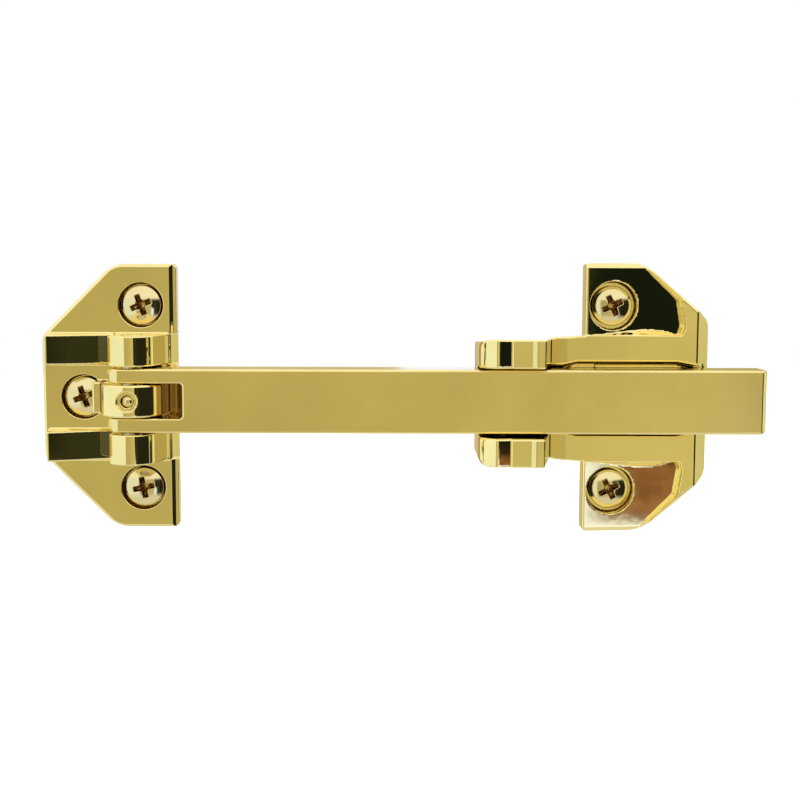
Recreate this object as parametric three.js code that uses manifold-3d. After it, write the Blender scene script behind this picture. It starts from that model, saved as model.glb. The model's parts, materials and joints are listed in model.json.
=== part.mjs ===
// A swing-bar door guard for a hinged door, in polished and satin brass finish.
//
// A hinge plate is screwed to the door frame and a catch plate to the door. A flat bar swings on the
// hinge plate's pin. Closed, it lies between the two claws of the catch, over a mushroom-headed stud
// that enters a keyhole in the bar's back. As the door opens, the stud runs along the bar's slot until
// it meets the end, so the door opens only a hand's width.
//
// Millimetres. +X runs along the closed bar, +Z is up, and +Y points into the door. The mounting plane
// is y = 0. The origin is on the hinge plate's back, right behind the hinge axis. A height is a
// distance in front of the mounting plane, so a height h is at y = -h.

import * as THREE from "three";
import { mergeVertices } from "three/addons/utils/BufferGeometryUtils.js";
import Module from "manifold-3d";

const wasm = await Module();
wasm.setup();

// ---------------------------------------------------------------- driving dimensions

const EAR_H = 3.2; // thickness of the ears that the screws go through
const EDGE_BEVEL = 0.8;

const AXIS_H = 8; // the hinge axis runs along Z at x = 0
const PIN_R = 1.95;
const PIN_BORE_R = 2.05;
const PIN_HALF_LENGTH = 12.1;

const BAR_HALF_WIDE = 6.15;
const BAR_HALF_THICK = 4;
const BAR_END_X = 122.3;
const BAR_REAR_H = AXIS_H - BAR_HALF_THICK;
const BAR_FRONT_H = AXIS_H + BAR_HALF_THICK;
const FORK_HALF_GAP = 3.35;
const FORK_END_X = 10.3; // at the bar's front; the fork's end slopes back from here
const FORK_REAR_X = 8;

const HINGE_LEFT_X = -18.7;
const HINGE_RIGHT_X = 7.8;
const HINGE_HALF_TALL = 26.1;
const RIDGE_IN_Z = 6.5;
const RIDGE_OUT_Z = 12.4;
const RIDGE_R = 4.6; // outer knuckles
const RIDGE_LEFT_H = 7.8; // each ridge falls towards its knuckle
const RIDGE_RIGHT_H = 3.7;
const SWEEP_R = 9; // each outer knuckle runs down to the right edge in this hollow arc
const RIDGE_FOOT_H = 2.6;
const KNUCKLE_R = 5.8; // middle knuckle
const KNUCKLE_HALF_WIDE = 3.1;
const STEP_X = 6.5; // the ears step down to a thin rim here
const STEP_H = 2.3;

const CATCH_LEFT_X = 87.9;
const CATCH_RIGHT_X = 112.7;
const CATCH_HALF_TALL = 26.5;
const CATCH_BODY_H = 5;
const CATCH_WEB_H = 3;
const CATCH_EAR_LEFT_H = 4.7; // the catch's ears thin out towards the right
const CATCH_EAR_RIGHT_H = 2.8;
const CATCH_EAR_IN_Z = 12.5;
const CLAW_TIP_X = 66.6;
const CLAW_TOP_H = 16.5;
const CLAW_FLAT_H = 15.8;
const CLAW_IN_Z = 6.6;
const CLAW_OUT_Z = 12.2;

const STUD_X = 74;
const STUD_NECK_R = 2.2;
const STUD_HEAD_R = 4;
const STUD_TRAVEL = 42; // the catch's run along the bar, until the stud meets the slot's end
const LIP_FRONT_H = 6.2; // the slot's lips, behind the stud's head
const CAVITY_FRONT_H = 8.8;
const CAVITY_HALF_WIDE = 4.4;
const MOUTH_HALF_WIDE = 2.5;

const SCREW_HEAD_R = 3.6;
const SCREW_SHANK_R = 2.05;
const SCREW_HOLE_R = 2.3;
const HINGE_RECESS_R = 4.55; // each screw head sits in a straight round recess
const CATCH_RECESS_R = 4.88;
const SCREWS = {
  hinge_screw_upper: { x: 0.9, z: 18.1, turn: 16 },
  hinge_screw_lower: { x: 0.9, z: -18.1, turn: 18 },
  hinge_screw_centre: { x: -10.6, z: 0, turn: 36 },
  catch_screw_upper: { x: 93.4, z: 18.2, turn: 29 },
  catch_screw_lower: { x: 93.4, z: -18.2, turn: 31 },
  catch_screw_centre: { x: 103, z: 0, turn: 12 },
};

const PLUG_RECESS_R = 1.9;
const PLUG_R = 1.15;
const PLUG_BORE_R = 1.25;
const PLUG_FACE_H = 12.9;
const PLUG_BACK_H = 12.35;
const BALL_R = 0.6;

// ---------------------------------------------------------------- finishes

const finish = (color, roughness) =>
  new THREE.MeshStandardMaterial({ color, roughness, metalness: 1 });
const POLISHED = finish("#c8ac5a", 0.08);
const SATIN = finish("#bfa25a", 0.3);
const SCREW_BRASS = finish("#c0a468", 0.2);
const STEEL = finish("#b9b7ae", 0.35);

// ---------------------------------------------------------------- shapes to solids

// A closed geometry as a solid that can be joined and cut.
function solid(geometry) {
  const bare = geometry.clone();
  bare.deleteAttribute("normal");
  bare.deleteAttribute("uv");
  const merged = mergeVertices(bare, 1e-4);
  const triVerts = new Uint32Array(merged.index.array);
  const vertProperties = merged.attributes.position.array;
  return new wasm.Manifold(new wasm.Mesh({ numProp: 3, vertProperties, triVerts }));
}

const join = (first, ...others) => others.reduce((all, next) => all.add(next), first);
const cut = (from, ...cutters) => cutters.reduce((left, next) => left.subtract(next), from);

// A shape given in (x, z), standing from height low to height high, its front edges bevelled.
function standing(shape, low, high, { bevel = 0, curveSegments = 8 } = {}) {
  const foot = bevel > 0 ? bevel + 1 : 0;
  const settings = {
    depth: high - low - bevel + foot,
    bevelEnabled: bevel > 0,
    bevelThickness: bevel,
    bevelSize: bevel,
    bevelOffset: -bevel,
    bevelSegments: 2,
    curveSegments,
  };
  const geometry = new THREE.ExtrudeGeometry(shape, settings).translate(0, 0, low - foot);
  const whole = solid(geometry.rotateX(Math.PI / 2));
  return bevel > 0 ? whole.intersect(block([-200, 200], [low, high + 1], [-100, 100])) : whole;
}

// A side profile given in (x, height), running from low z to high z.
function sideways(profile, low, high, curveSegments = 10) {
  const settings = { depth: high - low, bevelEnabled: false, curveSegments };
  const geometry = new THREE.ExtrudeGeometry(profile, settings);
  return solid(geometry.translate(0, 0, -high).rotateX(Math.PI));
}

// A box between two values of x, height and z.
function block([x0, x1], [h0, h1], [z0, z1]) {
  const geometry = new THREE.BoxGeometry(x1 - x0, h1 - h0, z1 - z0);
  return solid(geometry.translate((x0 + x1) / 2, -(h0 + h1) / 2, (z0 + z1) / 2));
}

// A round solid about the line that stands at (x, z). The profile is [radius, height] from front to
// back, and starts and ends on the axis.
function turned(profile, x, z, segments = 24) {
  const points = profile.map(([r, h]) => new THREE.Vector2(r, h)).reverse();
  const geometry = new THREE.LatheGeometry(points, segments);
  return solid(geometry.rotateX(Math.PI).rotateY(Math.PI).translate(x, 0, z));
}

// A rod along the hinge axis.
function rod(radius, low, high, segments = 40) {
  const geometry = new THREE.CylinderGeometry(radius, radius, high - low, segments);
  return solid(geometry.rotateX(Math.PI / 2).translate(0, -AXIS_H, (low + high) / 2));
}

const polygon = (points) => new THREE.Shape(points.map(([a, b]) => new THREE.Vector2(a, b)));
const mirroredInZ = (points) => points.concat(points.map(([x, z]) => [x, -z]).reverse());
const bothSides = (make) => [make(1), make(-1)];

function circle(x, y, radius) {
  const shape = new THREE.Shape();
  shape.absarc(x, y, radius, 0, 2 * Math.PI);
  return shape;
}

// A slot with round ends, between two centres on the x axis.
function slotShape(x0, x1, radius) {
  const shape = new THREE.Shape();
  shape.absarc(x1, 0, radius, -Math.PI / 2, Math.PI / 2);
  shape.absarc(x0, 0, radius, Math.PI / 2, (3 * Math.PI) / 2);
  return shape;
}

// ---------------------------------------------------------------- screws and their holes

// A straight recess for the head, a countersink below it, and the hole through.
function screwHole({ x, z }, recessR) {
  const seat = 1.9;
  const profile = [
    [0, 40],
    [recessR, 40],
    [recessR, EAR_H - 0.6],
    [SCREW_HEAD_R + 0.15, seat],
    [SCREW_HOLE_R, seat - (SCREW_HEAD_R - SCREW_HOLE_R)],
    [SCREW_HOLE_R, -1],
    [0, -1],
  ];
  return turned(profile, x, z);
}

// The tapered cross in a screw's head, sunk from the given crown height.
function crossRecess(crown) {
  const wing = (long, across) => {
    const geometry = new THREE.CylinderGeometry(0.4, 1, 1.8, 4, 1).rotateY(Math.PI / 4);
    return solid(geometry.rotateX(Math.PI).scale(long, 1, across).translate(0, 0.75 - crown, 0));
  };
  return join(wing(2.7, 0.55), wing(0.55, 2.7));
}

// A raised countersunk wood screw. Its thread is a plain cylinder of the thread's outer size.
function woodScrew({ x, z, turn }) {
  const rimH = 2.2;
  const crownH = 3.5;
  const profile = [
    [0, crownH],
    [1.3, crownH - 0.15],
    [2.5, crownH - 0.55],
    [SCREW_HEAD_R - 0.2, rimH + 0.2],
    [SCREW_HEAD_R, rimH],
    [SCREW_SHANK_R, rimH - (SCREW_HEAD_R - SCREW_SHANK_R)],
    [SCREW_SHANK_R, -16],
    [0.3, -19],
    [0, -19],
  ];
  const head = cut(turned(profile, 0, 0), crossRecess(crownH));
  return head.rotate([0, -turn, 0]).translate([x, 0, z]);
}

// ---------------------------------------------------------------- hinge side

const hingeOutline = mirroredInZ([
  [HINGE_LEFT_X, 11.9],
  [-5.9, 24.7],
  [-4.6, 25.7],
  [-2.9, HINGE_HALF_TALL],
  [HINGE_RIGHT_X, HINGE_HALF_TALL],
]);

// A ridge: a gentle slope on the left, then the outer knuckle, which sweeps down to the right edge.
function ridgeProfile() {
  const insidePlateH = 1.4;
  const sweepAngle = Math.asin((AXIS_H - RIDGE_FOOT_H) / SWEEP_R);
  const shape = new THREE.Shape();
  shape.moveTo(HINGE_LEFT_X + 0.9, insidePlateH);
  shape.lineTo(HINGE_RIGHT_X - 0.1, insidePlateH);
  shape.lineTo(HINGE_RIGHT_X - 0.1, RIDGE_FOOT_H);
  shape.absarc(RIDGE_R + SWEEP_R, AXIS_H, SWEEP_R, Math.PI + sweepAngle, Math.PI, true);
  shape.absarc(0, AXIS_H, RIDGE_R, 0, Math.PI);
  shape.lineTo(-RIDGE_R, RIDGE_RIGHT_H + 0.6);
  shape.lineTo(-RIDGE_R - 0.4, RIDGE_RIGHT_H);
  shape.lineTo(HINGE_LEFT_X + 1.5, RIDGE_LEFT_H);
  shape.lineTo(HINGE_LEFT_X + 1.1, RIDGE_LEFT_H - 0.3);
  return shape;
}

// The middle knuckle is an arch on two short feet. The left foot reaches over the middle screw.
function middleKnuckle() {
  const feet = polygon([
    [-8.6, 1],
    [6.2, 1],
    [6.2, 4.6],
    [5.6, 5.2],
    [-8, 5.2],
    [-8.6, 4.6],
  ]);
  const [low, high] = [-KNUCKLE_HALF_WIDE, KNUCKLE_HALF_WIDE];
  return join(
    sideways(feet, low, high),
    sideways(circle(0, AXIS_H, KNUCKLE_R), low, high, 20),
  );
}

// A shallow hollow cast into a plate's back, with a rim, a middle rib and a boss round each screw.
function backHollow(outline, bosses) {
  const hollowH = 1.2;
  const ribHalfWide = 7.6;
  const bossR = 6.2;
  const keep = bosses.map(({ x, z }) => standing(circle(x, z, bossR), -2, 3));
  return cut(
    standing(polygon(outline), -1, hollowH),
    block([-200, 200], [-2, 3], [-ribHalfWide, ribHalfWide]),
    ...keep,
  );
}

// The bore for the ball, the spring and their plug, open to the pin's bore.
function frictionBore() {
  const profile = [
    [0, 20],
    [PLUG_RECESS_R, 20],
    [PLUG_RECESS_R, PLUG_FACE_H + 0.1],
    [PLUG_BORE_R, PLUG_FACE_H - 0.4],
    [PLUG_BORE_R, AXIS_H],
    [0, AXIS_H],
  ];
  return turned(profile, 0, 0, 20);
}

function hingePlate() {
  const { hinge_screw_upper, hinge_screw_lower, hinge_screw_centre } = SCREWS;
  const spots = [hinge_screw_upper, hinge_screw_lower, hinge_screw_centre];
  const ridge = ridgeProfile();
  const hollow = mirroredInZ([
    [HINGE_LEFT_X + 2.4, 11.6],
    [-4.6, HINGE_HALF_TALL - 2.2],
    [HINGE_RIGHT_X - 2.2, HINGE_HALF_TALL - 2.2],
  ]);
  const ears = cut(
    standing(polygon(hingeOutline), 0, EAR_H, { bevel: EDGE_BEVEL }),
    block([STEP_X, HINGE_RIGHT_X + 1], [STEP_H, 9], [-40, 40]),
  );
  const ridges = [
    sideways(ridge, RIDGE_IN_Z, RIDGE_OUT_Z),
    sideways(ridge, -RIDGE_OUT_Z, -RIDGE_IN_Z),
  ];
  const { x, z } = hinge_screw_centre;
  const headRoom = standing(circle(x, z, HINGE_RECESS_R + 0.15), -1, 4.1);
  const knuckle = cut(middleKnuckle(), headRoom);
  const plate = cut(
    join(ears, ...ridges),
    backHollow(hollow, spots),
    ...spots.map((spot) => screwHole(spot, HINGE_RECESS_R)),
  );
  return cut(join(plate, knuckle), rod(PIN_BORE_R, -20, 20), frictionBore());
}

const hingePin = () => rod(PIN_R, -PIN_HALF_LENGTH, PIN_HALF_LENGTH);

// A ball, pushed on to the pin by a spring under a plug, gives the bar its friction.
const BALL_H = AXIS_H + PIN_R + BALL_R + 0.05;

const frictionBall = () =>
  solid(new THREE.SphereGeometry(BALL_R, 16, 10).translate(0, -BALL_H, 0));

class Coil extends THREE.Curve {
  constructor(radius, low, high, turns) {
    super();
    Object.assign(this, { radius, low, high, turns });
  }

  getPoint(t, target = new THREE.Vector3()) {
    const angle = t * this.turns * 2 * Math.PI;
    const height = this.low + t * (this.high - this.low);
    return target.set(this.radius * Math.cos(angle), -height, this.radius * Math.sin(angle));
  }
}

function frictionSpring() {
  const wireR = 0.13;
  const low = BALL_H + BALL_R + wireR + 0.03;
  const high = PLUG_BACK_H - wireR - 0.03;
  const extrudePath = new Coil(0.8, low, high, 2.5);
  const section = circle(0, 0, wireR);
  return solid(new THREE.ExtrudeGeometry(section, { steps: 40, extrudePath, curveSegments: 3 }));
}

function frictionPlug() {
  const profile = [
    [0, PLUG_FACE_H],
    [0.6, PLUG_FACE_H - 0.08],
    [1.0, PLUG_FACE_H - 0.3],
    [PLUG_R, PLUG_BACK_H + 0.1],
    [PLUG_R, PLUG_BACK_H],
    [0, PLUG_BACK_H],
  ];
  return turned(profile, 0, 0, 20);
}

// ---------------------------------------------------------------- swing bar

function swingBar() {
  const half = BAR_HALF_WIDE;
  const side = new THREE.Shape();
  side.moveTo(0, BAR_REAR_H);
  side.lineTo(BAR_END_X - 0.5, BAR_REAR_H);
  side.lineTo(BAR_END_X, BAR_REAR_H + 0.5);
  side.lineTo(BAR_END_X, BAR_FRONT_H - 1.2);
  side.lineTo(BAR_END_X - 0.4, BAR_FRONT_H - 0.6);
  side.lineTo(BAR_END_X - 1.5, BAR_FRONT_H);
  side.lineTo(0, BAR_FRONT_H);
  side.absarc(0, AXIS_H, BAR_HALF_THICK, Math.PI / 2, (3 * Math.PI) / 2);
  const front = polygon([
    [-5, -half],
    [BAR_END_X - 1, -half],
    [BAR_END_X + 0.1, -half + 1.1],
    [BAR_END_X + 0.1, half - 1.1],
    [BAR_END_X - 1, half],
    [-5, half],
  ]);
  const slotEnd = STUD_X + STUD_TRAVEL;
  const fork = polygon([
    [-10, 0],
    [FORK_REAR_X, 0],
    [FORK_REAR_X, BAR_REAR_H],
    [FORK_END_X, BAR_FRONT_H],
    [FORK_END_X, 20],
    [-10, 20],
  ]);
  return cut(
    sideways(side, -half, half, 16).intersect(standing(front, 0, BAR_FRONT_H, { bevel: 0.4 })),
    sideways(fork, -FORK_HALF_GAP, FORK_HALF_GAP),
    rod(PIN_R + 0.03, -20, 20),
    standing(slotShape(STUD_X, slotEnd, MOUTH_HALF_WIDE), 0, LIP_FRONT_H + 0.5),
    standing(circle(STUD_X, 0, CAVITY_HALF_WIDE), 0, LIP_FRONT_H + 0.5),
    standing(slotShape(STUD_X, slotEnd, CAVITY_HALF_WIDE), LIP_FRONT_H, CAVITY_FRONT_H),
  );
}

// ---------------------------------------------------------------- catch side

const catchOutline = mirroredInZ([
  [CATCH_LEFT_X, CATCH_HALF_TALL],
  [99.2, CATCH_HALF_TALL],
  [110.6, 17],
  [112.2, 15.2],
  [CATCH_RIGHT_X, 12.8],
]);

// Where the front is lowered for an ear, out past the plate's left and upper edges.
const earOutline = (side) =>
  polygon(
    [
      [60, CATCH_EAR_IN_Z],
      [106.5, CATCH_EAR_IN_Z],
      [107.1, 14.2],
      [105.8, 19.5],
      [98.6, 25.8],
      [98.6, 40],
      [60, 40],
    ].map(([x, z]) => [x, side * z]),
  );

// The trough that the bar lies in. It is wider behind the claws.
const troughOutline = mirroredInZ([
  [CLAW_TIP_X - 2, CLAW_IN_Z],
  [83.5, CLAW_IN_Z],
  [86.5, 7.25],
  [106, 7.25],
  [109.5, CLAW_IN_Z],
  [CATCH_RIGHT_X + 2, CLAW_IN_Z],
]);

// The side of either claw: a steep wall rises from the flat body to the beak's low crest.
function clawProfile() {
  const shape = new THREE.Shape();
  shape.moveTo(CLAW_TIP_X + 0.6, 0);
  shape.lineTo(CATCH_LEFT_X + 4, 0);
  shape.lineTo(CATCH_LEFT_X + 4, CATCH_BODY_H);
  shape.lineTo(84.3, CATCH_BODY_H);
  shape.lineTo(81.4, 4.3);
  shape.lineTo(79, CLAW_TOP_H);
  shape.lineTo(76.5, CLAW_FLAT_H);
  shape.lineTo(72.9, CLAW_FLAT_H);
  shape.lineTo(71, CLAW_FLAT_H - 0.4);
  shape.quadraticCurveTo(66.8, 15, CLAW_TIP_X, 10.2);
  shape.lineTo(CLAW_TIP_X, 0.6);
  return shape;
}

function catchPlate() {
  const { catch_screw_upper, catch_screw_lower, catch_screw_centre } = SCREWS;
  const spots = [catch_screw_upper, catch_screw_lower, catch_screw_centre];
  const claw = clawProfile();
  const aboveEars = sideways(
    polygon([
      [CATCH_LEFT_X, CATCH_EAR_LEFT_H],
      [107.1, CATCH_EAR_RIGHT_H],
      [120, CATCH_EAR_RIGHT_H],
      [120, 20],
      [50, 20],
      [50, CATCH_EAR_LEFT_H],
    ]),
    -60,
    60,
  );
  const body = cut(
    standing(polygon(catchOutline), 0, CATCH_BODY_H, { bevel: 0.6 }),
    ...bothSides((side) => standing(earOutline(side), 0, 20).intersect(aboveEars)),
  );
  const raised = cut(
    join(
      body,
      sideways(claw, CLAW_IN_Z - 0.5, CLAW_OUT_Z),
      sideways(claw, -CLAW_OUT_Z, -CLAW_IN_Z + 0.5),
    ),
    standing(polygon(troughOutline), CATCH_WEB_H, 20),
    sideways(polygon([[109.8, 5.1], [112.3, 1.9], [114, 1.9], [114, 9], [109.8, 9]]), -40, 40),
  );
  const hollow = mirroredInZ([
    [CATCH_LEFT_X + 2.2, CATCH_HALF_TALL - 2.2],
    [98.4, CATCH_HALF_TALL - 2.2],
    [CATCH_RIGHT_X - 2.6, 13.6],
  ]);
  const studHole = [
    [0, 5],
    [1.75, 5],
    [1.75, 1.1],
    [2.6, 0.3],
    [2.6, -1],
    [0, -1],
  ];
  return cut(
    join(
      raised,
      block([CLAW_TIP_X + 1, CATCH_LEFT_X + 1], [0, CATCH_WEB_H], [-7, 7]),
    ),
    backHollow(hollow, spots),
    turned(studHole, STUD_X, 0),
    ...spots.map((spot) => screwHole(spot, CATCH_RECESS_R)),
  );
}

// The mushroom stud, riveted through the bridge between the claws.
function catchStud() {
  const profile = [
    [0, 8.5],
    [2.4, 8.35],
    [3.6, 7.9],
    [STUD_HEAD_R, 7.3],
    [STUD_HEAD_R, 6.75],
    [STUD_HEAD_R - 0.3, 6.5],
    [STUD_NECK_R, 6.5],
    [STUD_NECK_R, CATCH_WEB_H + 0.05],
    [1.7, CATCH_WEB_H + 0.05],
    [1.7, 1.15],
    [2.3, 0.5],
    [2.3, 0.2],
    [0, 0.2],
  ];
  return turned(profile, STUD_X, 0);
}

// ---------------------------------------------------------------- the assembly

function place(group, name, made, material) {
  const mesh = made.getMesh();
  const geometry = new THREE.BufferGeometry();
  geometry.setAttribute("position", new THREE.BufferAttribute(mesh.vertProperties, 3));
  geometry.setIndex(new THREE.BufferAttribute(mesh.triVerts, 1));
  geometry.computeVertexNormals();
  const piece = new THREE.Mesh(geometry, material);
  piece.name = name;
  group.add(piece);
}

const hingeSide = new THREE.Group();
place(hingeSide, "hinge_plate", hingePlate(), POLISHED);
place(hingeSide, "friction_ball", frictionBall(), STEEL);
place(hingeSide, "friction_spring", frictionSpring(), STEEL);
place(hingeSide, "friction_plug", frictionPlug(), SCREW_BRASS);

const bar = new THREE.Group();
place(bar, "swing_bar", swingBar(), SATIN);
place(bar, "hinge_pin", hingePin(), STEEL);

const catchSide = new THREE.Group();
place(catchSide, "catch_plate", catchPlate(), POLISHED);
place(catchSide, "catch_stud", catchStud(), STEEL);

for (const [name, spot] of Object.entries(SCREWS)) {
  const side = name.startsWith("hinge") ? hingeSide : catchSide;
  place(side, name, woodScrew(spot), SCREW_BRASS);
}

const guard = new THREE.Group();
guard.add(hingeSide, bar, catchSide);

export default guard;
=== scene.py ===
"""A swing-bar door guard in polished and satin brass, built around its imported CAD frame.

Every visible casting is a distance function: a formula that says how far a point is from the piece's
surface. mesh_of() turns the formula into a closed mesh, and moves each vertex on to the exact surface,
so flat faces are flat and rounded edges are smooth enough to mirror the room.

The formulas work in millimetres on (x, h, z), where h is the height in front of the mounting plane.
Blender's objects are in metres, with y = -h.
"""

import json
import math

import bpy
import numpy as np
from mathutils import Matrix, Vector


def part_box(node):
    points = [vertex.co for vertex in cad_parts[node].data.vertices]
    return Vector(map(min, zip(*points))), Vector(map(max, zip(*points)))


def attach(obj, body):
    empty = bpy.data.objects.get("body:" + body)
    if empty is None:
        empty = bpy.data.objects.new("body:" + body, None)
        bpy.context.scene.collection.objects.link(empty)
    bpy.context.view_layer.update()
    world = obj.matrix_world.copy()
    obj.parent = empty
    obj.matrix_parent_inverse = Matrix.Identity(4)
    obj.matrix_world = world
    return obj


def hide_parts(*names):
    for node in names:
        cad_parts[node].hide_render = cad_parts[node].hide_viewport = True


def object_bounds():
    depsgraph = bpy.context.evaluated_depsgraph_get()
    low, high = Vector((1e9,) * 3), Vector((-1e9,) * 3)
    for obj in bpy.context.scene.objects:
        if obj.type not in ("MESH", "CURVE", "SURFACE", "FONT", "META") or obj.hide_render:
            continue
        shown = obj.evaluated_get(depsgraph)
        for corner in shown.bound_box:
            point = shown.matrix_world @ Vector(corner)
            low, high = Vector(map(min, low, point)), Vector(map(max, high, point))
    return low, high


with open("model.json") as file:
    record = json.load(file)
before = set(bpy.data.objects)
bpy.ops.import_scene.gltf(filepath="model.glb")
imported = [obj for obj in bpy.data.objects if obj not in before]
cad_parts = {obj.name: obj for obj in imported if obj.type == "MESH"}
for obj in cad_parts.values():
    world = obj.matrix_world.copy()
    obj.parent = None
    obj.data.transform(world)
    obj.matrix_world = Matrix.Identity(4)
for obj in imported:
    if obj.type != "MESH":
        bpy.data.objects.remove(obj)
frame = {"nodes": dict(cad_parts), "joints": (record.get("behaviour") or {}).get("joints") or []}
CAD_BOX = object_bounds()
MM = 0.001


def span(node, axis):
    """A CAD node's lowest and highest place along x, h or z, in millimetres."""
    low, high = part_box(node)
    if axis == "h":
        return -high.y / MM, -low.y / MM
    index = "x?z".index(axis)
    return low[index] / MM, high[index] / MM


# ------------------------------------------------------------------ places taken from the frame

HINGE_LEFT, HINGE_RIGHT = span("hinge_plate", "x")
HINGE_HALF_TALL = span("hinge_plate", "z")[1]
HINGE_TOP = span("hinge_plate", "h")[1]
CATCH_LEFT, CATCH_RIGHT = span("catch_plate", "x")
CATCH_HALF_TALL = span("catch_plate", "z")[1]
CLAW_TOP = span("catch_plate", "h")[1]
BAR_END = span("swing_bar", "x")[1]
BAR_REAR, BAR_FRONT = span("swing_bar", "h")
BAR_HALF_WIDE = span("swing_bar", "z")[1]
BAR_R = (BAR_FRONT - BAR_REAR) / 2
AXIS_H = (BAR_FRONT + BAR_REAR) / 2
PIN_R = (span("hinge_pin", "x")[1] - span("hinge_pin", "x")[0]) / 2
PIN_HALF_LENGTH = span("hinge_pin", "z")[1]
STUD_X = sum(span("catch_stud", "x")) / 2
STUD_TOP = span("catch_stud", "h")[1]
STUD_HEAD_R = span("catch_stud", "z")[1]
DOOR_TRAVEL = next(j["range_m"][1] for j in frame["joints"] if j["name"] == "door_opening") / MM

# How far each screw's cross is turned counter-clockwise, seen from the front
SCREW_TURNS = {
    "hinge_screw_upper": 22,
    "hinge_screw_lower": 12,
    "hinge_screw_centre": 20,
    "catch_screw_upper": 24,
    "catch_screw_lower": 27,
    "catch_screw_centre": 5,
}
SCREW_TIP, SCREW_CROWN = span("hinge_screw_upper", "h")


def screw_place(node):
    """Where a screw's axis is along x and z."""
    return sum(span(node, "x")) / 2, sum(span(node, "z")) / 2


# ------------------------------------------------------------------ sizes of the castings

EAR_H = 3.2  # the hinge plate's ears
RIM_H = 2.6  # the thin rim along its right edge
HINGE_SIDE_HALF_TALL = 11.9  # its left side, between the two long chamfers
RIDGE_MIDDLE = 9.45
RIDGE_HALF_WIDE = 2.95
RIDGE_R = 4.6  # the outer knuckles
KNUCKLE_LEFT = -4.2  # their flat left side
RIDGE_TOE = (5.8, 3.8)  # x and h of the foot of their straight right wall
KNUCKLE_R = HINGE_TOP - AXIS_H  # the middle knuckle
KNUCKLE_HALF_WIDE = 3.1
PLUG_R = 1.15
PLUG_BORE_R = 1.25
PLUG_RECESS_R = 1.9
PLUG_RECESS_H = 12.95

TURNING_R = 4.6  # the bar's forked end stays within this distance of the hinge axis
FORK_HALF_GAP = 3.35
FORK_FRONT_END = 10.3
FORK_REAR_END = 8.0
CAVITY_R = STUD_HEAD_R + 0.4  # the room for the stud's head inside the bar
CAVITY_REAR_H = 6.2
CAVITY_FRONT_H = 8.8
MOUTH_R = 2.5  # the slot that the stud's neck runs in
MOUTH_FRONT_H = 6.7

BODY_H = 5.0  # the catch's body and arms
WEB_H = 3.0  # the floor of its trough, and the bridge between the claws
CATCH_BODY_LEFT = 87.9
ARM_IN = 6.6
ARM_OUT = 12.45
STUD_NECK_R = 2.2
RIVET_R = 1.7
RIVET_TAIL_R = 2.3

HINGE_RECESS_R = 4.4
CATCH_RECESS_R = 4.75
SCREW_HOLE_R = 2.3
HEAD_R = 3.9
SHANK_R = 1.75

HOLLOW_H = 1.2  # how deep the plates' backs are hollowed
HOLLOW_RIM = 2.4
RIB_HALF_WIDE = 7.6
BOSS_R = 6.2


# ------------------------------------------------------------------ distance formulas


def meet(a, b, r):
    """What is inside both, its outer edge rounded to radius r."""
    return np.minimum(-r, np.maximum(a, b)) + np.hypot(np.maximum(a + r, 0), np.maximum(b + r, 0))


def join(a, b, r):
    """What is inside either, its inner corner filled to radius r."""
    return -meet(-a, -b, r)


def cut(a, b, r):
    """What is inside a and outside b, the new edge rounded to radius r."""
    return meet(a, -b, r)


def line(u, v, start, end):
    """Distance to the left of a line that runs from start to end: inside is on its right."""
    du, dv = end[0] - start[0], end[1] - start[1]
    return ((v - start[1]) * du - (u - start[0]) * dv) / math.hypot(du, dv)


def disc(u, v, centre, r):
    return np.hypot(u - centre[0], v - centre[1]) - r


def between(v, low, high):
    return np.maximum(low - v, v - high)


def rising(v, start, length):
    """0 up to start, then rising to 1 over a length. A negative length rises the other way."""
    return np.clip((v - start) / length, 0, 1)


def chamfered(side, top, leg, r):
    """A side wall and a top face, with a sloping edge between them whose ends are rounded."""
    slope = (side + top + leg) / math.sqrt(2)
    return meet(meet(side, slope, r), top, r)


def long_hole(x, z, x0, x1, r):
    """A slot with round ends, between two centres on the x axis."""
    return np.hypot(np.maximum(np.maximum(x0 - x, x - x1), 0), z) - r


def screw_seat(x, h, z, node, clear_to=40):
    """The recess for a screw's head, the countersink under it, and the hole through."""
    floor_h = 0.9
    seat_h, seat_gap = 2.0, 0.12
    cone_top_h = 2.1
    recess_r = HINGE_RECESS_R if node.startswith("hinge") else CATCH_RECESS_R
    from_axis = disc(x, z, screw_place(node), 0)
    recess = meet(from_axis - recess_r, floor_h - h, 0.3)
    cone = (from_axis - HEAD_R - seat_gap + (seat_h - h)) / math.sqrt(2)
    hole = np.minimum(np.maximum(cone, h - cone_top_h), from_axis - SCREW_HOLE_R)
    return np.maximum(np.minimum(recess, hole), h - clear_to)


def back_hollow(x, h, z, outline, nodes):
    """The hollow in a casting's back: it leaves a rim, a middle rib and a boss round each screw."""
    hollow = cut(outline + HOLLOW_RIM, np.abs(z) - RIB_HALF_WIDE, 0.8)
    for node in nodes:
        hollow = cut(hollow, disc(x, z, screw_place(node), BOSS_R), 0.8)
    return meet(hollow, h - HOLLOW_H, 0.3)


# ------------------------------------------------------------------ hinge plate, pin and plug


def hinge_outline(x, z):
    tall = np.abs(z)
    chamfer = (tall - x - (HINGE_SIDE_HALF_TALL - HINGE_LEFT)) / math.sqrt(2)
    outline = meet(meet(chamfer, tall - HINGE_HALF_TALL, 1.7), HINGE_LEFT - x, 0.8)
    return meet(outline, x - HINGE_RIGHT, 0.9)


def hinge_ears(x, h, tall, outline):
    """The ears, with a step down to the thin rim. The step is further left beside the ridges."""
    shift = np.where(tall < RIDGE_MIDDLE + RIDGE_HALF_WIDE, 1.6, 0)
    step = line(x + shift, h, (6.6, EAR_H), (7.15, RIM_H))
    ears = meet(chamfered(outline, h - EAR_H, 0.4, 0.2), step, 0.15)
    return join(meet(outline, h - RIM_H, 0.15), ears, 0.06)


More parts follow.
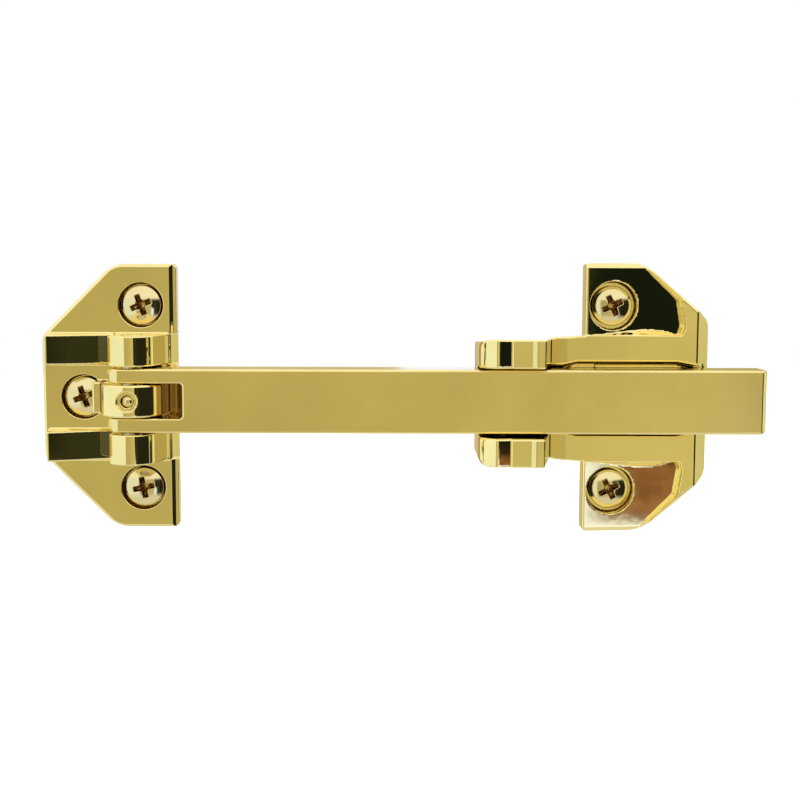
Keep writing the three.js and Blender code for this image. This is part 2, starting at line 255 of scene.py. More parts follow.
def toe_slope(x, h):
    """The slope under a ridge's right wall, down to the plate's right edge."""
    run, fall = 1.5, 3.1
    return line(x, h, RIDGE_TOE, (RIDGE_TOE[0] + run, RIDGE_TOE[1] - fall))


def ridge_side(x, h):
    """Side view of a ridge: its slope, its knuckle, and a steep wall down to the right edge."""
    slope = line(x, h, (-16.7, 7.8), (-4.6, 3.2))
    end = line(x, h, (-17.6, 1.4), (-17.0, 7.5))
    wedge = np.maximum(meet(slope, end, 0.4), x)
    stem = np.maximum(between(x, -RIDGE_R, RIDGE_R), h - AXIS_H)
    wall_top = (4.45, AXIS_H + 1.2)
    inner_x = 3  # inside the knuckle
    wall = np.minimum(line(x, h, wall_top, RIDGE_TOE), toe_slope(x, h))
    buttress = np.maximum(np.maximum(wall, inner_x - x), h - wall_top[1])
    knuckle = np.minimum(np.minimum(disc(x, h, (0, AXIS_H), RIDGE_R), stem), buttress)
    knuckle = meet(knuckle, KNUCKLE_LEFT - x, 0.1)
    return join(wedge, knuckle, 0.15)


def middle_side(x, h):
    """Side view of the middle knuckle: an arch with a shoulder on its right, on two short feet."""
    feet = meet(between(x, -8.6, 6.2), h - 5.2, 0.5)
    lean = math.radians(48)
    shoulder = x * math.sin(lean) + (h - AXIS_H) * math.cos(lean) - KNUCKLE_R
    shoulder = np.maximum(meet(shoulder, x - 6.1, 0.2), KNUCKLE_R * math.sin(lean) - x)
    arch = np.minimum(disc(x, h, (0, AXIS_H), KNUCKLE_R), shoulder)
    return join(feet, arch, 0.35)


def hinge_plate(x, h, z):
    nodes = ("hinge_screw_upper", "hinge_screw_lower", "hinge_screw_centre")
    centre_head_top = 4.1  # the middle knuckle reaches over the centre screw's head
    tall = np.abs(z)
    outline = hinge_outline(x, z)
    across_ridge = np.abs(tall - RIDGE_MIDDLE) - RIDGE_HALF_WIDE
    plate = hinge_ears(x, h, tall, outline)
    plate = cut(plate, np.maximum(across_ridge, -toe_slope(x, h)), 0.1)
    plate = join(plate, meet(ridge_side(x, h), across_ridge, 0.3), 0.45)
    for node in nodes:
        plate = cut(plate, screw_seat(x, h, z, node), 0.15)
    middle = meet(middle_side(x, h), tall - KNUCKLE_HALF_WIDE, 0.45)
    middle = cut(middle, screw_seat(x, h, z, "hinge_screw_centre", centre_head_top), 0.2)
    whole = meet(join(plate, middle, 0.4), -h, 0.2)
    whole = cut(whole, back_hollow(x, h, z, outline, nodes), 0.3)
    whole = cut(whole, disc(x, h, (0, AXIS_H), PIN_R + 0.1), 0.15)
    from_bore = np.hypot(x, z)
    recess = np.maximum(from_bore - PLUG_RECESS_R, PLUG_RECESS_H - h)
    bore = np.maximum(from_bore - PLUG_BORE_R, AXIS_H - h)
    return cut(cut(whole, recess, 0.25), bore, 0.1)


def hinge_pin(x, h, z):
    return chamfered(disc(x, h, (0, AXIS_H), PIN_R), np.abs(z) - PIN_HALF_LENGTH, 0.25, 0.1)


def friction_plug(x, h, z):
    low, high = span("friction_plug", "h")
    dome_r = 1.6
    r = np.hypot(x, z)
    dome = np.hypot(r, h - high + dome_r) - dome_r
    return meet(meet(r - PLUG_R, dome, 0.12), low - h, 0.05)


# ------------------------------------------------------------------ catch plate and stud


def catch_outline(x, z):
    tall = np.abs(z)
    chamfer = line(x, tall, (99.2, 26.5), (112.8, 15.0))
    outline = meet(chamfer, x - CATCH_RIGHT, 0.9)
    outline = meet(outline, tall - CATCH_HALF_TALL, 1.2)
    return meet(outline, CATCH_BODY_LEFT - x, 0.8)


def ear_face(x, h):
    """The front of the catch's ears, which thin out to the right."""
    return line(x, h, (CATCH_BODY_LEFT, 4.95), (107.6, 2.8))


def ear_pocket(x, h, z):
    """Where the catch's front is lowered to leave an ear. Its wall beside the arm leans in the middle."""
    tall = np.abs(z)
    corners = ((107.0, 12.5), (107.6, 14.2), (106.7, 19.4), (99.3, 26.0))
    steepest, middle, reach = 0.8, 97.5, 8.5
    lean = steepest * np.maximum(1 - ((x - middle) / reach) ** 2, 0)
    area = (ARM_OUT + lean * (BODY_H - h) - tall) / np.hypot(1, lean)
    for start, end in zip(corners, corners[1:]):
        area = meet(area, -line(x, tall, start, end), 0.3)
    return meet(area, -ear_face(x, h), 0.12)


def catch_body(x, h, z, outline):
    """The catch's plate, with both ears lowered and its right end sloping down."""
    end_slope = line(x, h, (109.9, BODY_H), (112.3, 1.9))
    outer_bevel = (np.abs(z) - CATCH_HALF_TALL + ear_face(x, h) + 0.8) / math.sqrt(2)
    body = meet(chamfered(outline, h - BODY_H, 0.3, 0.2), end_slope, 0.1)
    body = cut(body, ear_pocket(x, h, z), 0.1)
    return meet(body, outer_bevel, 0.15)


def claw_side(x, h):
    """Side view of a claw: a round tip, a flat top with a low crest, and a steep wall to the arm."""
    crest, foot = (79.0, CLAW_TOP), (81.4, 4.3)
    flat = CLAW_TOP - 0.7
    curl_r = 5.17
    curl = (CATCH_LEFT + curl_r, flat + 0.31 - curl_r)
    notch_right = 72.8
    top = np.minimum(h - flat, line(x, h, (76.5, flat), crest))
    tip = np.maximum(disc(np.minimum(x, curl[0]), np.maximum(h, curl[1]), curl, curl_r), top)
    tip = meet(tip, line(x, h, crest, foot), 0.15)
    notch = np.maximum(-line(x, h, (70.0, flat), (notch_right, flat - 0.5)), x - notch_right)
    tip = cut(tip, notch, 0.12)
    arm_top = np.maximum(h - BODY_H, line(x, h, foot, (84.35, BODY_H)))
    arm = np.maximum(np.maximum(CATCH_LEFT - x, x - 95), arm_top)
    return join(tip, arm, 0.15)


def catch_arms(x, h, z):
    """Both arms and their claws. The claws are widest at the top, and the arms flare behind them."""
    tall = np.abs(z)
    flare = 0.3 * rising(x, 83, 5)
    draft = 0.06 * np.maximum(CLAW_TOP - h, 0) * rising(x, 82.5, -3.5)
    arms = meet(claw_side(x, h), tall - ARM_OUT + 0.3 - flare + draft, 0.4)
    tip_corner = (tall - 12.2 + CATCH_LEFT + 1.2 - x) / math.sqrt(2)
    return meet(meet(arms, CATCH_LEFT - x, 0.5), tip_corner, 0.6)


def trough(x, h, z):
    """The channel that the bar lies in. It is wider behind the claws."""
    widening = 0.65 * rising(x, 83.5, 3) * rising(x, 109.5, -3.5)
    return meet(np.abs(z) - ARM_IN - widening, WEB_H - h, 0.8)


def catch_plate(x, h, z):
    nodes = ("catch_screw_upper", "catch_screw_lower", "catch_screw_centre")
    bridge_left, bridge_right, bridge_half_tall = CATCH_LEFT + 1, 90, 8
    outline = catch_outline(x, z)
    whole = np.minimum(catch_body(x, h, z, outline), catch_arms(x, h, z))
    whole = cut(whole, trough(x, h, z), 0.45)
    bridge = np.maximum(h - WEB_H, np.abs(z) - bridge_half_tall)
    bridge = np.maximum(between(x, bridge_left, bridge_right), bridge)
    whole = join(whole, meet(bridge, bridge_left - x, 0.4), 0.3)
    whole = meet(whole, -h, 0.2)
    whole = cut(whole, back_hollow(x, h, z, outline, nodes), 0.3)
    for node in nodes:
        whole = cut(whole, screw_seat(x, h, z, node), 0.15)
    from_stud = np.hypot(x - STUD_X, z)
    tail_room = np.maximum(from_stud - RIVET_TAIL_R - 0.3, h - 0.9)
    return cut(whole, np.minimum(from_stud - RIVET_R - 0.05, tail_room), 0.1)


def catch_stud(x, h, z):
    """The mushroom-headed stud, riveted through the bridge."""
    dome_r = 8
    head_rear, neck_top = 6.5, 7
    rivet_low, rivet_high, tail_high = 0.2, 3.2, 0.7
    r = np.hypot(x - STUD_X, z)
    dome = np.hypot(r, h - STUD_TOP + dome_r) - dome_r
    head = meet(meet(r - STUD_HEAD_R, dome, 0.4), head_rear - h, 0.25)
    neck = np.maximum(r - STUD_NECK_R, between(h, WEB_H + 0.05, neck_top))
    rivet = np.maximum(r - RIVET_R, between(h, rivet_low, rivet_high))
    tail = meet(r - RIVET_TAIL_R, between(h, rivet_low, tail_high), 0.15)
    return join(join(head, neck, 0.3), np.minimum(rivet, tail), 0.05)


# ------------------------------------------------------------------ swing bar


def bar_side(x, h):
    """Side view of the bar: its end at the hinge is round, and its other end has a sloping nose."""
    far_inside = -9
    turning = np.where(x < 0, disc(x, h, (0, AXIS_H), TURNING_R), far_inside)
    nose = line(x, h, (BAR_END - 1.4, BAR_FRONT), (BAR_END, BAR_FRONT - 2.15))
    side = meet(np.abs(h - AXIS_H) - BAR_R, turning, 0.15)
    return meet(meet(side, x - BAR_END, 0.3), nose, 0.12)


def swing_bar(x, h, z):
    wide = np.abs(z)
    plan = meet(wide - BAR_HALF_WIDE, x - BAR_END, 0.8)
    bar = meet(bar_side(x, h), plan, 0.45)
    fork_end = -line(x, h, (FORK_REAR_END, BAR_REAR), (FORK_FRONT_END, BAR_FRONT))
    bar = cut(bar, meet(wide - FORK_HALF_GAP, fork_end, 0.6), 0.3)
    slot_end = STUD_X + DOOR_TRAVEL
    mouth = long_hole(x, z, STUD_X, slot_end, MOUTH_R)
    keyhole = np.minimum(mouth, disc(x, z, (STUD_X, 0), CAVITY_R))
    cavity = long_hole(x, z, STUD_X, slot_end, CAVITY_R)
    bar = cut(bar, np.maximum(keyhole, h - MOUTH_FRONT_H), 0.3)
    bar = cut(bar, np.maximum(cavity, between(h, CAVITY_REAR_H, CAVITY_FRONT_H)), 0.1)
    return cut(bar, disc(x, h, (0, AXIS_H), PIN_R + 0.02), 0.1)


# ------------------------------------------------------------------ screws


def screw_head(r, h):
    """A domed head over a countersunk cone."""
    rise = 1.0
    rim = SCREW_CROWN - rise
    dome_r = (HEAD_R**2 + rise**2) / (2 * rise)
    dome = np.hypot(r, h - SCREW_CROWN + dome_r) - dome_r
    cone = (r - HEAD_R - (h - rim + 0.4)) / math.sqrt(2)
    return meet(meet(dome, cone, 0.1), r - HEAD_R, 0.12)


def screw_thread(x, h, z):
    """A core that tapers to the tip, with a sharp crest that climbs once round in each pitch."""
    pitch, core_r, crest_out = 1.7, 1.35, 0.7
    thread_top = -3.4
    above_tip = h - SCREW_TIP
    turn = h / pitch + np.arctan2(z, x) / (2 * math.pi)
    from_crest = np.abs(turn - np.round(turn)) * pitch
    core = np.clip(above_tip * 0.62, 0, core_r)
    crest = np.minimum(crest_out, above_tip * 0.4 + 0.1)
    thread = (np.hypot(x, z) - core - np.maximum(crest - 1.5 * from_crest, 0)) * 0.6
    return np.maximum(thread, between(h, SCREW_TIP, thread_top))


def cross_recess(x, h, z):
    """A Phillips cross: two wings that taper with depth, a core where they meet, and a pointed floor."""
    wing_reach, wing_half_wide, core_reach, point_depth = 2.3, 0.55, 1.45, 2.7
    depth = SCREW_CROWN - h
    a, b = np.abs(x), np.abs(z)
    wing_a = meet(a - wing_reach + 0.5 * depth, b - wing_half_wide + 0.06 * depth, 0.12)
    wing_b = meet(b - wing_reach + 0.5 * depth, a - wing_half_wide + 0.06 * depth, 0.12)
    core = (a + b - core_reach + 0.35 * depth) / math.sqrt(2)
    floor = (depth - point_depth + 0.85 * np.hypot(x, z)) / 1.3
    return meet(join(join(wing_a, wing_b, 0.1), core, 0.1), floor, 0.08)


def screw_at_origin(x, h, z):
    """A raised countersunk wood screw."""
    r = np.hypot(x, z)
    shank = np.maximum(r - SHANK_R, between(h, -4, 2))
    whole = np.minimum(np.minimum(screw_head(r, h), shank), screw_thread(x, h, z))
    return cut(whole, cross_recess(x, h, z), 0.12)


# ------------------------------------------------------------------ formula to mesh


def grid_axis(low, high, step):
    """Evenly spaced places from a little before low to a little past high."""
    margin = 2.5 * step
    return np.arange(low - margin, high + margin, step)


def surface_net(field):
    """Vertices, in cells, and quads of the surface where a field of distances crosses zero."""
    inside = field < 0
    shape = tuple(n - 1 for n in field.shape)
    total = np.zeros(shape + (3,))
    count = np.zeros(shape)
    corner = np.indices((2, 2, 2)).reshape(3, -1).T

    def at(offset):
        return tuple(slice(o, o + n) for o, n in zip(offset, shape))

    for first in corner:
        for axis in range(3):
            if first[axis]:
                continue
            second = first.copy()
            second[axis] = 1
            f0, f1 = field[at(first)], field[at(second)]
            crosses = (f0 < 0) != (f1 < 0)
            t = np.where(crosses, f0 / np.where(crosses, f0 - f1, 1), 0)
            for k in range(3):
                total[..., k] += crosses * (first[k] + (t if k == axis else 0))
            count += crosses
    mixed = count > 0
    number = np.full(shape, -1)
    number[mixed] = np.arange(mixed.sum())
    places = np.argwhere(mixed) + total[mixed] / count[mixed][:, None]
    quads = []
    for axis in range(3):
        others = [a for a in range(3) if a != axis]
        low = [slice(1, -1)] * 3
        high = [slice(1, -1)] * 3
        low[axis], high[axis] = slice(None, -1), slice(1, None)
        crosses = np.argwhere(inside[tuple(low)] != inside[tuple(high)])
        base = crosses + [0 if a == axis else 1 for a in range(3)]
        leaving = inside[tuple(base.T)]
        ring = []
        for du, dv in ((1, 1), (0, 1), (0, 0), (1, 0)):
            cell = base.copy()
            cell[:, others[0]] -= du
            cell[:, others[1]] -= dv
            ring.append(number[tuple(cell.T)])
        ring = np.stack(ring, axis=1)
        flip = ~leaving if axis == 1 else leaving  # so that every face looks outwards
        ring[flip] = ring[flip][:, ::-1]
        quads.append(ring)
    return places, np.concatenate(quads)


def gradient(formula, points, step=0.01):
    """How fast the distance grows along x, h and z at each point."""
    x, h, z = points.T
    parts = [
        formula(x + dx, h + dh, z + dz) - formula(x - dx, h - dh, z - dz)
        for dx, dh, dz in np.eye(3) * step
    ]
    return np.stack(parts, axis=1) / (2 * step)


def on_surface(formula, points, step):
    """Each point moved to the surface along the distance's own slope."""
    rounds, least_steep = 6, 0.05
    for _ in range(rounds):
        slope = gradient(formula, points)
        steep = np.maximum((slope**2).sum(axis=1), least_steep)
        move = formula(*points.T) / steep
        move = np.clip(move, -step, step)
        points = points - slope * move[:, None]
    return points


def mesh_of(name, formula, box, step):
    """A piece whose surface is where formula(x, h, z) is zero, within a box in millimetres."""
    xs, hs, zs = (grid_axis(low, high, step) for low, high in box)
    field = formula(xs[:, None, None], hs[None, :, None], zs[None, None, :])
    field = np.broadcast_to(field, (len(xs), len(hs), len(zs)))
    places, quads = surface_net(np.ascontiguousarray(field))
    points = places * step + [xs[0], hs[0], zs[0]]
    points = on_surface(formula, points, step)
    normals = gradient(formula, points, 0.02)
    normals /= np.maximum(np.linalg.norm(normals, axis=1), 1e-6)[:, None]
    mesh = bpy.data.meshes.new(name)
    mesh.vertices.add(len(points))
    mesh.vertices.foreach_set("co", (points * [MM, -MM, MM]).astype(np.float32).ravel())
    mesh.loops.add(quads.size)
    mesh.loops.foreach_set("vertex_index", quads.ravel().astype(np.int32))
    mesh.polygons.add(len(quads))
    mesh.polygons.foreach_set("loop_start", np.arange(0, quads.size, 4, dtype=np.int32))
    mesh.update(calc_edges=True)
    mesh.validate()
    mesh.shade_smooth()
    mesh.normals_split_custom_set_from_vertices(normals * [1, -1, 1])
    piece = bpy.data.objects.new(name, mesh)
    bpy.context.scene.collection.objects.link(piece)
    return piece


def node_box(node):
    """A CAD node's box along x, h and z."""
    return [span(node, axis) for axis in "xhz"]


# ------------------------------------------------------------------ materials


class Nodes:
    """A short way to add linked shader nodes to one material or world."""

    def __init__(self, tree):
        self.tree = tree
        tree.nodes.clear()

    def add(self, kind, settings=None, **inputs):
        node = self.tree.nodes.new(kind)
        for key, value in (settings or {}).items():
            setattr(node, key, value)
        for key, value in inputs.items():
            socket = node.inputs[int(key[1:])] if key[0] == "_" else node.inputs[key.replace("_", " ")]
            if isinstance(value, bpy.types.NodeSocket):
                self.tree.links.new(value, socket)
            else:
                socket.default_value = value
        return node

    def math(self, operation, a, b=0.0):
        return self.add("ShaderNodeMath", {"operation": operation}, _0=a, _1=b).outputs[0]

    def vector(self, operation, a, b):
        return self.add("ShaderNodeVectorMath", {"operation": operation}, _0=a, _1=b).outputs[0]

    def length(self, vector):
        return self.add("ShaderNodeVectorMath", {"operation": "LENGTH"}, _0=vector).outputs["Value"]

    def ramp(self, value, stops):
        node = self.add("ShaderNodeValToRGB", _0=value)
        elements = node.color_ramp.elements
        for index, (place, colour) in enumerate(stops):
            element = elements[index] if index < 2 else elements.new(place)
            element.position = place
            element.color = (*colour, 1)
        return node.outputs[0]

    def noise(self, coordinates, scale, detail=3.0, roughness=0.5):
        settings = dict(Vector=coordinates, Scale=scale, Detail=detail, Roughness=roughness)
        return self.add("ShaderNodeTexNoise", **settings).outputs[0]

    def product(self, first, *others):
        """The product of several masks: 1 only where every one of them is 1."""
        for other in others:
            first = self.math("MULTIPLY", first, other)
        return first

    def inside(self, value, low, high):
        """1 where a length lies between low and high, in millimetres."""
        above = self.math("GREATER_THAN", value, low * MM)
        return self.product(above, self.math("LESS_THAN", value, high * MM))

    def in_front(self, back):
        """1 in front of the plates' hollowed backs, where painted shade is laid. back is a point's y."""
        painted_shade_from_h = 1.4
        return self.inside(back, -HINGE_TOP, -painted_shade_from_h)

    def spread(self, value, low, high):
        """A 0 to 1 value as one between low and high."""
        return self.add("ShaderNodeMapRange", _0=value, _3=low, _4=high).outputs[0]

    def over(self, under, mask, colour):
        """A colour, or another socket, laid over what is under it where the mask is 1."""
        if isinstance(colour, tuple):
            colour = (*colour, 1)
        return self.add("ShaderNodeMix", {"data_type": "RGBA"}, _0=mask, _6=under, _7=colour).outputs[2]


def in_recess(n, place):
    """1 inside any screw's recess, which is darkened with a brown painted shade."""
    past_wall, below_face = 0.05, 0.35
    _, back, _ = n.add("ShaderNodeSeparateXYZ", _0=place).outputs
    inside = 0.0
    for node in SCREW_TURNS:
        x, z = screw_place(node)
        recess_r = HINGE_RECESS_R if node.startswith("hinge") else CATCH_RECESS_R
        offset = n.vector("SUBTRACT", place, (x * MM, 0, z * MM))
        from_axis = n.length(n.vector("MULTIPLY", offset, (1, 0, 1)))
        near = n.math("LESS_THAN", from_axis, (recess_r + past_wall) * MM)
        inside = n.math("MAXIMUM", inside, near)
    below = n.math("GREATER_THAN", back, (below_face - EAR_H) * MM)
    return n.product(inside, below, n.in_front(back))


def in_cross(n, place):
    """1 inside a screw's cross recess, below the domed head, darkened with a brown painted shade. The
    point of its floor is left unshaded.
    """
    point_r, reach, least_depth = 0.55, 2.5, 0.2
    dome_fall = 0.064  # how far the dome has fallen at 1 mm from the axis
    head_from_h = 0.3
    _, back, _ = n.add("ShaderNodeSeparateXYZ", _0=place).outputs
    r = n.length(n.vector("MULTIPLY", place, (1, 0, 1)))
    dome = n.math("MULTIPLY", n.math("MULTIPLY", r, r), dome_fall / MM)
    depth = n.math("SUBTRACT", n.math("ADD", back, SCREW_CROWN * MM), dome)
    sunk = n.math("GREATER_THAN", depth, least_depth * MM)
    in_head = n.math("LESS_THAN", back, -head_from_h * MM)
    return n.product(sunk, n.inside(r, point_r, reach), in_head)


def beside_knuckle(n, place):
    """1 on the hinge plate in the strips that the bar's fork leaves open beside the middle knuckle. They
    get a brown painted shade.
    """
    left_strip, right_strip = (-6.95, -6.0), (5.2, 9.0)
    x, back, z = n.add("ShaderNodeSeparateXYZ", _0=place).outputs
    strips = n.math("MAXIMUM", n.inside(x, *left_strip), n.inside(x, *right_strip))
    return n.product(strips, n.inside(z, -FORK_HALF_GAP, FORK_HALF_GAP), n.in_front(back))


def in_corner(n, place):
    """1 on the flat left walls of the outer knuckles, which get a near-black painted shade that hides
    their reflection.
    """
    x, back, z = n.add("ShaderNodeSeparateXYZ", _0=place).outputs
    across_ridge = n.inside(n.math("ABSOLUTE", z), 6.3, 12.5)
    wall = n.inside(x, KNUCKLE_LEFT - 0.3, KNUCKLE_LEFT + 0.07)
    return n.product(wall, across_ridge, n.in_front(back))


def brushed(n, place, stretch, bump):
    """The bump with a satin grain added, and the grain itself. stretch is along x, y and z."""
    stretched = n.add("ShaderNodeMapping", Vector=place, Scale=stretch).outputs[0]
    grain = n.noise(stretched, 1, 4, 0.7)
    speckle = n.noise(place, 5200, 2, 0.6)
    both = n.math("ADD", grain, n.math("MULTIPLY", speckle, 0.6))
    bump = n.add("ShaderNodeBump", Height=both, Normal=bump, Strength=0.35, Distance=0.00004)
    return bump.outputs[0], grain


def metal(name, colour, rough, brush=None, waviness=0.3, painted_shades=()):
    """A plated metal. rough is its roughness's low and high. brush stretches its grain along x, y and z.

    Each painted shade is a function that makes its mask, and how much of the colour it leaves.
    """
    tone = 0.06
    material = bpy.data.materials.new(name)
    material.use_nodes = True
    n = Nodes(material.node_tree)
    place = n.add("ShaderNodeTexCoord").outputs["Object"]
    dark = tuple(c * (1 - tone) for c in colour)
    light = tuple(min(1, c * (1 + tone)) for c in colour)
    tint = n.ramp(n.noise(place, 60, 4), [(0.3, dark), (0.7, light)])
    # lay each painted shade over the colour
    for mask, left_over in painted_shades:
        shaded = tuple(c * s for c, s in zip(colour, left_over))
        tint = n.over(tint, mask(n, place), shaded)
    smudge = n.noise(place, 220, 6, 0.6)
    roughness = n.spread(smudge, *rough)
    bumps = n.noise(place, 260, 2)
    bump = n.add("ShaderNodeBump", Height=bumps, Strength=waviness, Distance=0.00012).outputs[0]
    if brush:
        bump, grain = brushed(n, place, brush, bump)
        roughness = n.math("ADD", roughness, n.spread(grain, -0.04, 0.06))
    surface = n.add("ShaderNodeBsdfPrincipled", Base_Color=tint, Roughness=roughness, Normal=bump)
    surface.inputs["Metallic"].default_value = 1.0
    n.add("ShaderNodeOutputMaterial", Surface=surface.outputs[0])
    return material


# Painted shade: a brown one darkens the screw recesses, the cross recesses and the strips beside the
# middle knuckle, and a near-black one darkens the outer knuckles' left walls.
BROWN_SHADE, SHADE = (0.42, 0.3, 0.22), (0.06, 0.06, 0.07)
PLATE_PAINTED_SHADES = [(in_recess, BROWN_SHADE), (beside_knuckle, BROWN_SHADE), (in_corner, SHADE)]
POLISHED = metal("polished_brass", (0.93, 0.79, 0.355), (0.03, 0.05), waviness=0.05, painted_shades=PLATE_PAINTED_SHADES)
SATIN = metal("satin_brass", (0.90, 0.745, 0.33), (0.13, 0.17), brush=(60, 2600, 2600), waviness=0.1)
SCREW = metal("screw_brass", (0.80, 0.68, 0.36), (0.08, 0.13), painted_shades=[(in_cross, BROWN_SHADE)])
PLUG = metal("plug_brass", (0.80, 0.66, 0.34), (0.12, 0.2))
STEEL = metal("bright_steel", (0.62, 0.61, 0.57), (0.18, 0.3))


# ------------------------------------------------------------------ the pieces

FRAME_SIDE, BAR, DOOR_SIDE = "frame_side", "bar", "door_side"

# The size of the cells that each mesh is made on, in millimetres.
PLATE_CELL, CATCH_CELL, BAR_CELL = 0.22, 0.25, 0.3
ROUND_CELL = 0.16
SCREW_CELL = 0.12
PLUG_CELL = 0.08


def finish_piece(piece, node, body, material):
    piece.data.materials.append(material)
    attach(piece, body)
    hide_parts(node)


def add_piece(node, formula, step, body, material):
    piece = mesh_of(node + "_fine", formula, node_box(node), step)
    finish_piece(piece, node, body, material)


def add_castings():
    add_piece("hinge_plate", hinge_plate, PLATE_CELL, FRAME_SIDE, POLISHED)
    add_piece("catch_plate", catch_plate, CATCH_CELL, DOOR_SIDE, POLISHED)
    add_piece("swing_bar", swing_bar, BAR_CELL, BAR, SATIN)
    add_piece("catch_stud", catch_stud, ROUND_CELL, DOOR_SIDE, STEEL)
    add_piece("hinge_pin", hinge_pin, ROUND_CELL, BAR, STEEL)
    add_piece("friction_plug", friction_plug, PLUG_CELL, FRAME_SIDE, PLUG)


def add_screws():
    """Six copies of one screw, each at its own place and turned its own way."""
    reach = HEAD_R + 0.1
    box = [(-reach, reach), (SCREW_TIP, SCREW_CROWN), (-reach, reach)]
    first = mesh_of("screw", screw_at_origin, box, SCREW_CELL)
    for node, turn in SCREW_TURNS.items():
        piece = first.copy()
        piece.data = first.data.copy()
        piece.name = node + "_fine"
        bpy.context.scene.collection.objects.link(piece)
        x, z = screw_place(node)
        piece.location = (x * MM, 0, z * MM)
        piece.rotation_euler = (0, -math.radians(turn), 0)
        body = FRAME_SIDE if node.startswith("hinge") else DOOR_SIDE
        finish_piece(piece, node, body, SCREW)
    bpy.data.objects.remove(first)


def finish_hidden_parts():
    """The ball and spring under the plug keep their CAD meshes."""
    for node in ("friction_ball", "friction_spring"):
        mesh = frame["nodes"][node].data
        mesh.materials.clear()
        mesh.materials.append(STEEL)
        mesh.shade_smooth()


# ------------------------------------------------------------------ floor, light and camera

WHITE, BLACK = (1, 1, 1), (0, 0, 0)


def at(degrees):
    """A place on a ramp that runs round the walls, from degrees right of straight in front."""
    return degrees / 360 + 0.5


def raised(degrees):
    """A place on a ramp that runs up the walls, from degrees above level."""
    return math.sin(math.radians(degrees)) / 2 + 0.5


def wall_stops():
    """The walls' colours: from behind the guard, round its left, past its front, and back on its right."""
    bright = (0.95, 1.03, 1.05)
    dark = (0.02, 0.02, 0.014)
    deep = (0.008, 0.012, 0.008)
    olive = (0.034, 0.037, 0.02)
    side = (0.67, 0.64, 0.39)
    amber = (0.49, 0.41, 0.16)
    tan = (0.45, 0.29, 0.12)
    straw = (0.62, 0.52, 0.28)
    pale = (1.0, 1.1, 0.8)
    behind = (1.0, 1.05, 1.25)
    return [
        (at(-180), straw),
        (at(-166), straw),
        (at(-162), tan),
        (at(-140), tan),
        (at(-125), bright),
        (at(-26), bright),
        (at(-22), (0.50, 0.45, 0.235)),
        (at(0), (0.56, 0.51, 0.28)),
        (at(18.8), (0.66, 0.60, 0.335)),
        (at(20), deep),
        (at(26.0), deep),
        (at(26.7), olive),
        (at(32), olive),
        (at(36), dark),
        (at(112), dark),
        (at(115), side),
        (at(122), side),
        (at(126), pale),
        (at(130), pale),
        (at(134), amber),
        (at(166), amber),
        (at(172), behind),
    ]


def with_low_things(n, walls, direction, turn, height):
    """The walls, with something white and something rusty low in front of their dark right part."""
    glare = (1.05, 1.2, 1.8)
    copper = (0.37, 0.19, 0.10)
    red_brown = (0.19, 0.08, 0.04)
    lean = 0.065  # how much further right the white one's edge is, the higher up
    blur = 0.0006
    rough_height = n.math("ADD", height, n.spread(n.noise(direction, 90, 3), -blur, blur))
    leaning = n.math("ADD", turn, n.math("MULTIPLY", rough_height, -lean))
    edge = at(22.2) - lean * raised(-9.1)
    rust = n.ramp(n.noise(direction, 70, 5, 0.65), [(0.42, red_brown), (0.6, copper)])
    things = n.over(rust, n.ramp(leaning, [(edge - blur, WHITE), (edge + blur, BLACK)]), glare)
    lowest = n.ramp(rough_height, [(raised(-11.25), WHITE), (raised(-11.15), BLACK)])
    things = n.over(things, lowest, glare)
    low = n.ramp(rough_height, [(raised(-8.22), WHITE), (raised(-8.14), BLACK)])
    right = n.ramp(turn, [(at(19), BLACK), (at(19.6), WHITE), (at(25.4), WHITE), (at(25.8), BLACK)])
    return n.over(walls, n.product(low, right), things)


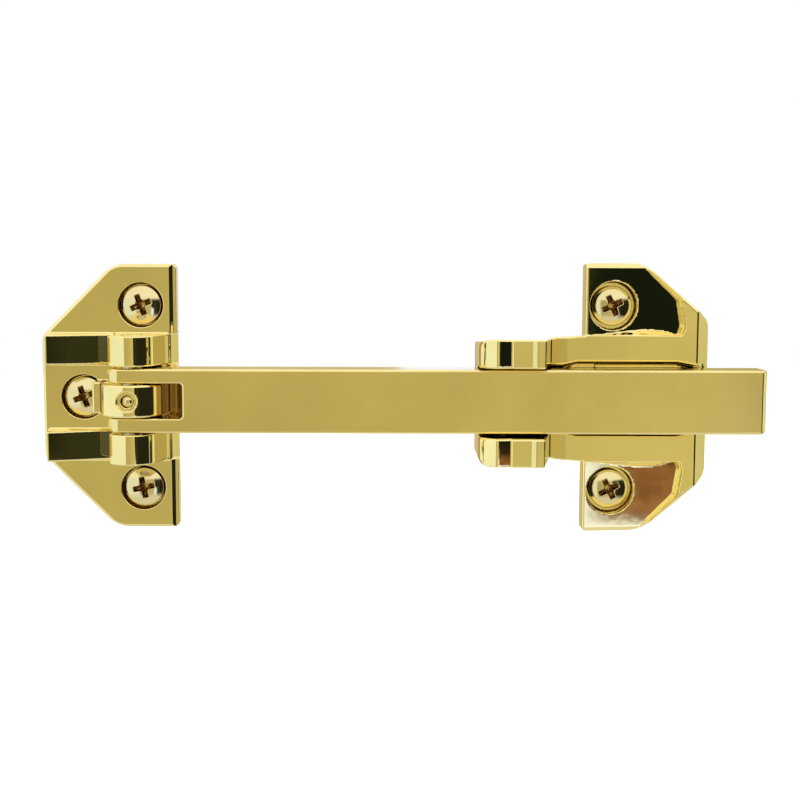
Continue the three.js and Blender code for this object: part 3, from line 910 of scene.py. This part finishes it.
def studio_light():
    """A soft studio: bright on the left, tan in front of the guard, mostly dark on the right.

    The camera itself sees plain white.
    """
    world = bpy.data.worlds.new("studio")
    bpy.context.scene.world = world
    world.use_nodes = True
    n = Nodes(world.node_tree)
    direction = n.add("ShaderNodeTexCoord").outputs["Generated"]
    across, along, up = n.add("ShaderNodeSeparateXYZ", _0=direction).outputs
    azimuth = n.math("ARCTAN2", across, n.math("MULTIPLY", along, -1.0))
    turn = n.math("ADD", n.math("DIVIDE", azimuth, 2 * math.pi), 0.5)
    height = n.math("ADD", n.math("MULTIPLY", up, 0.5), 0.5)
    walls = with_low_things(n, n.ramp(turn, wall_stops()), direction, turn, height)
    ceiling = n.ramp(height, [(0.6, BLACK), (0.65, WHITE)])
    ground = n.ramp(height, [(0.2, WHITE), (0.29, BLACK)])
    light = n.over(n.over(walls, ceiling, (1.1, 1.1, 1.05)), ground, (0.8, 0.8, 0.76))
    camera_ray = n.add("ShaderNodeLightPath").outputs["Is Camera Ray"]
    background = n.add("ShaderNodeBackground", Color=n.over(light, camera_ray, WHITE))
    n.add("ShaderNodeOutputWorld", Surface=background.outputs[0])


def add_floor():
    """A pale floor well below the guard. Reflections don't show it."""
    size, below = 3, 0.09
    middle_x = 0.05
    bpy.ops.mesh.primitive_grid_add(size=size, x_subdivisions=4, y_subdivisions=4)
    floor = bpy.context.object
    floor.name = "floor"
    floor.location = (middle_x, 0, CAD_BOX[0][2] - below)
    floor.visible_glossy = False
    material = bpy.data.materials.new("floor_white")
    material.use_nodes = True
    n = Nodes(material.node_tree)
    surface = n.add("ShaderNodeBsdfPrincipled", Base_Color=(0.9, 0.9, 0.9, 1), Roughness=0.8)
    surface.inputs["Emission Color"].default_value = (1, 1, 1, 1)
    surface.inputs["Emission Strength"].default_value = 0.6
    n.add("ShaderNodeOutputMaterial", Surface=surface.outputs[0])
    floor.data.materials.append(material)


def add_camera():
    """A camera in front of the guard and a little above it."""
    distance = 0.25
    elevation = math.radians(5.7)
    roll = math.radians(0.17)
    target = Vector((0.0518, 0, -0.0008))
    data = bpy.data.cameras.new("camera")
    data.sensor_width = 36
    data.lens = 56.25
    data.clip_start = 0.005
    camera = bpy.data.objects.new("camera", data)
    back = Vector((0, -math.cos(elevation), math.sin(elevation)))
    camera.location = target + distance * back
    level = Matrix.Rotation(math.pi / 2 - elevation, 3, "X")
    camera.rotation_euler = (level @ Matrix.Rotation(roll, 3, "Z")).to_euler()
    bpy.context.scene.collection.objects.link(camera)
    bpy.context.scene.camera = camera


add_castings()
add_screws()
finish_hidden_parts()
studio_light()
add_floor()
add_camera()
bpy.context.scene.view_settings.view_transform = "Standard"
